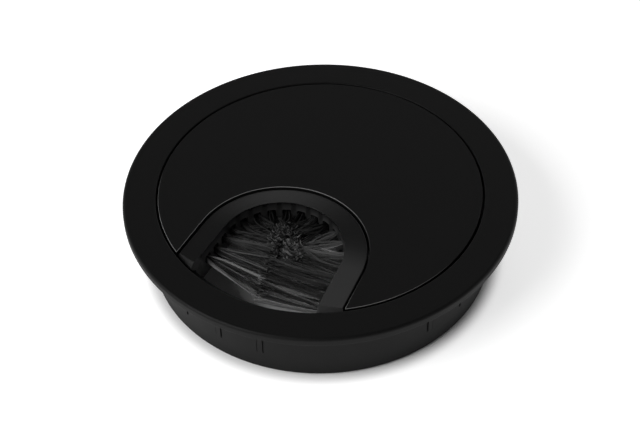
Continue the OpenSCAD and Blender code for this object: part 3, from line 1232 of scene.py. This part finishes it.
@dataclass(frozen=True)
class BrushTufts:
    """Tufts of nylon filaments in strands.

    Those of the arc end in a tangle. Some of them are combed to the right and towards the mouth's open end,
    and some carry painted glints as a lighter tone. Those of the arms meet at a seam. Spreads, sides and rises
    say how far strands stray at random: in mm at their tips, and as shares of the way that they run.
    """

    filament_r: float = 0.1
    strands: int = 20
    filaments_per_strand: int = 4
    strand_root_r: float = 0.12
    strand_tip_r: float = 0.28
    root_half_w: float = 0.6
    root_half_h: float = 0.6
    root_drop: float = 0.3
    root_deep: float = 1.1
    fan: float = 1.3
    fan_reach: float = 3.2
    fan_rise: float = 0.2
    body_points: int = 7
    body_handle: float = 0.3
    curl_points: int = 4
    curl_step: float = 0.45
    tone_spread: float = 0.05
    tip_glint_tone: float = 0.5
    tangle_at: tuple[float, float] = (-1.5, 4.9)
    tangle_half: tuple[float, float] = (4.4, 3.0)
    tangle_turn: float = math.radians(116)
    arc_tip_lift: float = 0.7
    arc_tip_rise: tuple[float, float] = (-0.2, 0.6)
    arc_pull_side: float = 0.2
    arc_pull_rise: tuple[float, float] = (-0.1, 0.3)
    arc_curl_ahead: float = 0.3
    arc_curl_side: float = 1.0
    arc_curl_rise: tuple[float, float] = (0.2, 1.3)
    arc_seed: int = 100
    combed_arc_tufts: tuple[int, ...] = (1, 2, 3, 4)
    combed_aim: tuple[float, float] = (3.2, -2.2)
    combed_gather: float = 0.6
    # These arc tufts carry painted glints as lighter tones
    painted_glint_arc_tufts: tuple[int, ...] = (2, 3, 4)
    painted_glint_arc_tones: tuple[float, float] = (0.18, 1.0)
    right_arc_tufts: int = 6
    right_arc_tones: tuple[float, float] = (0.03, 0.25)
    left_arc_tones: tuple[float, float] = (0.0, 0.06)
    seam_x: float = -1.82
    seam_slope: float = 0.178
    seam_spread: float = 0.55
    arm_tip_spread: float = 0.2
    arm_tip_lift: float = 0.8
    arm_tip_rise: tuple[float, float] = (0.15, 0.3)
    arm_pull_side: float = 0.12
    arm_pull_rise: float = 0.08
    arm_curl_side: float = 0.5
    arm_curl_rise: tuple[float, float] = (-0.1, 0.9)
    arm_curl_steps: tuple[float, ...] = (0.05, 0.05, 0.3)
    left_seed: int = 180
    left_clumps: tuple[tuple[Clump, ...], ...] = (
        (Clump(1.0, (-1, 1), (-2.6, 1.4), (0.0, 0.35)),),
        (
            Clump(0.3, (-0.6, 0.2), (0.4, 1.8), (0.1, 0.6), 0.6),
            Clump(0.7, (-1, 1), (0.8, 5.8), (0.0, 0.45)),
        ),
        (
            Clump(0.3, (-0.9, -0.5), (6.6, 7.2), (0.75, 1.0), 0.4, 0.6),
            Clump(0.25, (0.8, 1), (11.3, 11.8), (0.8, 1.0), 0.25, 0.3),
            Clump(0.55, (-0.7, 0.9), (6.8, 11.4), (0.0, 0.5), 0.7),
        ),
    )
    right_seed: int = 220
    right_clumps: tuple[tuple[Clump, ...], ...] = (
        (Clump(1.0, (-1, 1), (-2.0, 1.4), (0.0, 0.25)),),
        (Clump(1.0, (-1, 1), (1.0, 4.8), (0.0, 0.08)),),
        (Clump(1.0, (-1, 1), (4.2, 8.0), (0.0, 0.1)),),
        (
            Clump(0.25, (-1, -0.5), (7.4, 8.2), (0.3, 0.8), 0.5, 0.5),
            Clump(0.5, (-0.7, 0.7), (8.2, 12.2), (0.0, 0.6)),
            Clump(0.3, (0.7, 1), (12.6, 13.4), (0.5, 0.8), 0.3, 0.4),
        ),
    )

    def hanks(self, mouth: Mouth, plan: TuftPlan) -> list[Hank]:
        """Lists all tufts with their places.

        Args:
            mouth: Plan of the mouth.
            plan: Plan of the tufts.

        Returns:
            One hank for each tuft, named as its CAD node.
        """
        found = []
        lift = Vector((0, 0, plan.slot_mid_z - self.root_drop))
        for i in range(1, plan.arc_tufts + 1):
            turn = math.radians(plan.arc_turn_of(i))
            out = Vector((math.cos(turn), math.sin(turn), 0))
            dull = self.right_arc_tones if i <= self.right_arc_tufts else self.left_arc_tones
            hank = Hank(
                f"arc_tuft_{i}", out * mouth.radius + lift, -out, Vector((-out.y, out.x, 0)), self.arc_seed + i,
                tones=self.painted_glint_arc_tones if i in self.painted_glint_arc_tufts else dull,
            )
            if i in self.combed_arc_tufts:
                hank = replace(hank, aim=self.combed_aim, gather=self.combed_gather)
            found.append(hank)
        arms = ((Side.LEFT, self.left_seed, self.left_clumps), (Side.RIGHT, self.right_seed, self.right_clumps))
        for side, seed, clumps in arms:
            for i, own in enumerate(clumps, start=1):
                root = mouth.wall_point(plan.arm_s_of(i), 0, side) + lift
                name = f"{side.name.lower()}_tuft_{i}"
                found.append(Hank(name, root, mouth.arm_in(side), mouth.arm_way(side), seed + i, own))
        return found

    def start_of(
        self, hank: Hank, chance: random.Random, share: float, height: float
    ) -> tuple[Vector, float]:
        """Finds where a strand leaves its slot.

        Args:
            hank: Its tuft.
            chance: Source of its random values.
            share: Its place across the root, from -1 to 1.
            height: How thick its clump is, as a share of the tuft.

        Returns:
            The place in mm from the arc's centre, and its height in the tuft from -1 to 1.
        """
        lift = chance.uniform(-1, 1) * height
        offset = hank.along * share * self.root_half_w + Vector((0, 0, lift * self.root_half_h))
        return hank.root + offset, lift

    def arc_path(self, hank: Hank, chance: random.Random) -> list[Vector]:
        """Draws a strand of the round end, which runs in and curls up in the tangle.

        Args:
            hank: Its tuft.
            chance: Source of its random values.

        Returns:
            Points from its root to its tip, in mm from the arc's centre.
        """
        share = chance.uniform(-1, 1)
        start, lift = self.start_of(hank, chance, share, 1.0)
        turn, reach = chance.uniform(0, math.tau), math.sqrt(chance.random()) * hank.gather
        wide, narrow = self.tangle_half
        spot = Matrix.Rotation(self.tangle_turn, 3, "Z") @ Vector((
            math.cos(turn) * reach * wide, math.sin(turn) * reach * narrow, 0,
        ))
        # The spot lies to the tuft's own side of the tangle, because filaments from all sides meet there
        spot += Vector((*self.tangle_at, 0)) + Vector((*hank.aim, 0)) - hank.inward
        height = hank.root.z + lift * self.arc_tip_lift + chance.uniform(*self.arc_tip_rise)
        tip = Vector((spot.x, spot.y, height))
        ahead = (tip - start).normalized()
        across = (tip - start).cross(Vector((0, 0, 1))).normalized()
        pull = ahead + across * chance.gauss(0, self.arc_pull_side)
        pull += Vector((0, 0, chance.uniform(*self.arc_pull_rise)))
        pull.normalize()
        curl = pull * self.arc_curl_ahead + across * chance.gauss(0, self.arc_curl_side)
        curl += Vector((0, 0, chance.uniform(*self.arc_curl_rise)))
        return self.draw(hank, start, tip, pull, share, curl.normalized(), self.curl_step, chance)

    def arm_path(self, hank: Hank, clump: Clump, chance: random.Random) -> list[Vector]:
        """Draws a strand of an arm, which runs across to the seam.

        Args:
            hank: Its tuft.
            clump: Its clump.
            chance: Source of its random values.

        Returns:
            Points from its root to its tip, in mm from the arc's centre.
        """
        part = chance.random()
        share = between(clump.root, part)
        start, lift = self.start_of(hank, chance, share, clump.height)
        end_y = -between(clump.tips, chance.gauss(part, self.arm_tip_spread * clump.stray))
        seam = self.seam_x - self.seam_slope * end_y + chance.gauss(0, self.seam_spread)
        rise = chance.gauss(*self.arm_tip_rise) * clump.stray
        tip = Vector((seam, end_y, hank.root.z + lift * self.arm_tip_lift + rise))
        aside = Vector((0, chance.gauss(0, self.arm_pull_side), chance.gauss(0, self.arm_pull_rise)))
        pull = (tip - start).normalized() + aside * clump.stray
        aside = Vector((0, chance.gauss(0, self.arm_curl_side), chance.uniform(*self.arm_curl_rise)))
        curl = pull + aside * clump.stray
        step = chance.choice(self.arm_curl_steps) * self.curl_step
        return self.draw(hank, start, tip, pull.normalized(), share, curl.normalized(), step, chance)

    def draw(
        self, hank: Hank, start: Vector, tip: Vector, pull: Vector, share: float, curl: Vector, step: float,
        chance: random.Random,
    ) -> list[Vector]:
        """Draws the points of a strand: one deep in its slot, a smooth body, and a curl at its end.

        Args:
            hank: Its tuft.
            start: Where it leaves the slot.
            tip: Where its body ends and its curl starts.
            pull: Way that it points there.
            share: Its place across the root, from -1 to 1, by which it fans out past the slot.
            curl: Way that its very end points.
            step: Length of one step of the curl, in mm.
            chance: Source of its random values.

        Returns:
            Points from its root to its tip, in mm from the arc's centre.
        """
        length = (tip - start).length
        first = start + hank.inward * self.fan_reach + hank.along * share * self.fan
        first.z += chance.gauss(0, self.fan_rise)
        second = tip - pull * length * self.body_handle
        points = [start - hank.inward * self.root_deep, start]
        for k in range(1, self.body_points + 1):
            t = k / self.body_points
            a, b, c, d = (1 - t) ** 3, 3 * t * (1 - t) ** 2, 3 * t * t * (1 - t), t ** 3
            points.append(start * a + first * b + second * c + tip * d)
        for k in range(1, self.curl_points + 1):
            way = pull.lerp(curl, k / self.curl_points).normalized()
            points.append(points[-1] + way * step)
        return points

    def split(self, strand: list[Vector], stray: float, chance: random.Random) -> list[Vector]:
        """Draws one filament of a strand, which leaves the others a little towards the tip.

        Args:
            strand: Points of the strand.
            stray: How far its filaments leave each other, as a share.
            chance: Source of its random values.

        Returns:
            Points of the filament, in mm from the arc's centre.
        """
        near, far = (
            Vector([chance.gauss(0, r) for _ in range(3)]) for r in (self.strand_root_r, self.strand_tip_r)
        )
        return [p + near.lerp(far * stray, k / (len(strand) - 1)) for k, p in enumerate(strand)]

    def filaments(self, hank: Hank) -> tuple[list[list[Vector]], list[float]]:
        """Draws all the filaments of a tuft.

        Args:
            hank: The tuft's place.

        Returns:
            The points of each filament, in mm from the arc's centre, and the tones of all points in a row.
        """
        chance = random.Random(hank.seed)
        clumps = hank.clumps or (Clump(1.0, (-1, 1), (0, 0), hank.tones),)
        paths, tones = [], []
        for clump in clumps:
            for _ in range(round(self.strands * clump.share)):
                strand = self.arm_path(hank, clump, chance) if hank.clumps else self.arc_path(hank, chance)
                # Lighter tones paint glints along a strand, and lighter tips paint glints in its curl
                tone = between(clump.tones, chance.random() ** 3)
                body = len(strand) - self.curl_points
                for _ in range(self.filaments_per_strand):
                    paths.append(self.split(strand, clump.stray, chance))
                    own = max(0.0, tone + chance.gauss(0, self.tone_spread))
                    tip = own + self.tip_glint_tone * chance.random() ** 2
                    tones += [own] * body + [tip] * self.curl_points
        return paths, tones

    def sweep(self, name: str, paths: list[list[Vector]], arc_y: float) -> bpy.types.Mesh:
        """Sweeps a round filament along each path, with closed ends.

        Args:
            name: Name of the mesh.
            paths: Points of each filament, in mm from the arc's centre.
            arc_y: Y of the arc's centre, in mm.

        Returns:
            The mesh, with one ring of vertices for each point, in their order.
        """
        curve = bpy.data.curves.new(name, "CURVE")
        curve.dimensions = "3D"
        curve.fill_mode = "FULL"
        curve.bevel_depth = self.filament_r * MM
        curve.bevel_resolution = 0
        curve.use_fill_caps = False
        for points in paths:
            spline = curve.splines.new("POLY")
            spline.points.add(len(points) - 1)
            for target, point in zip(spline.points, points):
                target.co = (*at_arc(*point, arc_y), 1)
        drawn = add_object(name, curve)
        bpy.context.view_layer.update()
        mesh = bpy.data.meshes.new_from_object(drawn.evaluated_get(bpy.context.evaluated_depsgraph_get()))
        bpy.data.objects.remove(drawn)
        bpy.data.curves.remove(curve)
        mesh.name = name
        with mesh_edit(mesh) as bm:
            bmesh.ops.holes_fill(bm, edges=[e for e in bm.edges if e.is_boundary])
        mesh.shade_smooth()
        return mesh

    def build(self, hank: Hank, arc_y: float) -> bpy.types.Object:
        """Builds one tuft of many filaments, with a tone for each.

        Args:
            hank: The tuft's place.
            arc_y: Y of the arc's centre, in mm.

        Returns:
            The tuft.
        """
        paths, tones = self.filaments(hank)
        mesh = self.sweep(hank.name, paths, arc_y)
        ring = len(mesh.vertices) // len(tones)
        layer = mesh.attributes.new("tone", "FLOAT", "POINT")
        layer.data.foreach_set("value", [tones[i // ring] for i in range(len(mesh.vertices))])
        return add_object(hank.name + "_filaments", mesh)


# ---- Studio


@dataclass(frozen=True)
class Lamp:
    """Soft box that points at the object: angles in degrees, lengths in metres and its power in watts."""

    name: str
    azimuth: float
    elevation: float
    distance: float
    size: float
    power: float

    def build(self, target: Vector) -> None:
        """Adds the lamp, turned to a target.

        Args:
            target: The point that it is turned to, in metres.
        """
        light = bpy.data.lights.new(self.name, "AREA")
        light.shape = "SQUARE"
        light.size = self.size
        light.energy = self.power
        lamp = add_object(self.name, light)
        turn, rise = math.radians(self.azimuth), math.radians(self.elevation)
        way = Vector((math.sin(turn) * math.cos(rise), -math.cos(turn) * math.cos(rise), math.sin(rise)))
        lamp.location = target + way * self.distance
        lamp.rotation_euler = way.to_track_quat("Z", "Y").to_euler()


@dataclass(frozen=True)
class Studio:
    """White floor, soft light, and the camera.

    The floor's radius and the lamps' aim are in metres, the floor's drop and the camera's place in mm, the
    lens in mm of a 36 mm sensor, and the camera's angles in radians. Sky heights are sines of the elevation.
    """

    floor_r: float = 3.0
    floor_drop: float = 0.1
    sky_tilt: float = -0.12
    sky_heights: tuple[float, float] = (0.16, 0.35)
    sky_levels: tuple[float, float] = (1.3, 0.015)
    camera_azimuth: float = math.radians(26.5)
    camera_elevation: float = 0.78673376
    camera_roll: float = -0.0288905946
    camera_at: tuple[float, float, float] = (115.4906, -232.1153, 268.3648)
    lens: float = 90.0
    aim: tuple[float, float, float] = (0.0, 0.0, 0.012)
    lamps: tuple[Lamp, ...] = (
        Lamp("key", -33.0, 38.0, 0.8, 0.5, 5.2),
        Lamp("back", 180.0, 65.0, 0.8, 0.5, 0.5),
    )

    def build(self) -> None:
        """Builds floor, world, lamps and camera, and sets the view."""
        self.build_floor()
        self.build_world()
        for lamp in self.lamps:
            lamp.build(Vector(self.aim))
        self.build_camera()
        bpy.context.scene.view_settings.view_transform = "Standard"

    def build_floor(self) -> None:
        """Builds the floor, just under the sleeve's bottom rim."""
        bm = bmesh.new()
        bmesh.ops.create_circle(
            bm, cap_ends=True, segments=128, radius=self.floor_r,
            matrix=Matrix.Translation((0, 0, -self.floor_drop * MM)),
        )
        floor = make_piece("floor", bm)
        floor.data.materials.append(StudioPaper().build())

    def build_world(self) -> None:
        """Builds a world that is white at the horizon and dark above it."""
        world = bpy.data.worlds.new("studio")
        world.use_nodes = True
        tree = world.node_tree
        tree.nodes.clear()
        way = add_node(tree, "ShaderNodeTexCoord").outputs["Generated"]
        split = add_node(tree, "ShaderNodeSeparateXYZ", {"Vector": way})
        # The white reaches higher behind the object, as a sweep of paper does
        height = add_node(
            tree, "ShaderNodeMath", {0: split.outputs["Y"], 1: self.sky_tilt, 2: split.outputs["Z"]},
            operation="MULTIPLY_ADD",
        )
        (low, high), (white, dark) = self.sky_heights, self.sky_levels
        level = add_node(
            tree, "ShaderNodeMapRange",
            {
                "Value": height.outputs["Value"], "From Min": low, "From Max": high,
                "To Min": white, "To Max": dark,
            },
        )
        glow = add_node(
            tree, "ShaderNodeBackground", {"Color": (1, 1, 1, 1), "Strength": level.outputs["Result"]}
        )
        add_node(tree, "ShaderNodeOutputWorld", {"Surface": glow.outputs["Background"]})
        bpy.context.scene.world = world

    def build_camera(self) -> None:
        """Builds the camera at the photograph's viewing angle."""
        data = bpy.data.cameras.new("camera")
        data.lens = self.lens
        data.sensor_width = 36.0
        data.clip_start = 0.01
        camera = add_object("camera", data)
        turn = Matrix.Rotation(self.camera_azimuth, 4, "Z")
        tilt = Matrix.Rotation(math.pi / 2 - self.camera_elevation, 4, "X")
        roll = Matrix.Rotation(self.camera_roll, 4, "Z")
        camera.matrix_world = Matrix.Translation(Vector(self.camera_at) * MM) @ turn @ tilt @ roll
        bpy.context.scene.camera = camera


def main() -> None:
    """Builds the grommet and its studio, piece by piece."""
    logging.basicConfig(level=logging.INFO, format="%(message)s")
    mouth, tuft_plan, screw_plan = Mouth(), TuftPlan(), ScrewPlan()
    Studio().build()
    coat, plastic = PowderCoat().build(), MouldedPlastic().build()
    nylon, zinc = NylonFilament().build(), BlackZinc().build()

    dress(Liner().build(), coat, "liner", "liner")
    dress(Cover().build(mouth, screw_plan), coat, "cover", "cover")
    dress(BrushHolder().build(mouth, tuft_plan, screw_plan), plastic, "holder", "brush_holder")
    brush = BrushTufts()
    for hank in brush.hanks(mouth, tuft_plan):
        dress(brush.build(hank, mouth.arc_y), nylon, "bristle", hank.name)
    for i, centre in enumerate(screw_plan.centres(mouth), start=1):
        screw = Screw().build(f"pan_head_screw_{i}", screw_plan, centre)
        dress(screw, zinc, "screw", f"screw_{i}")


if __name__ == "__main__":
    main()
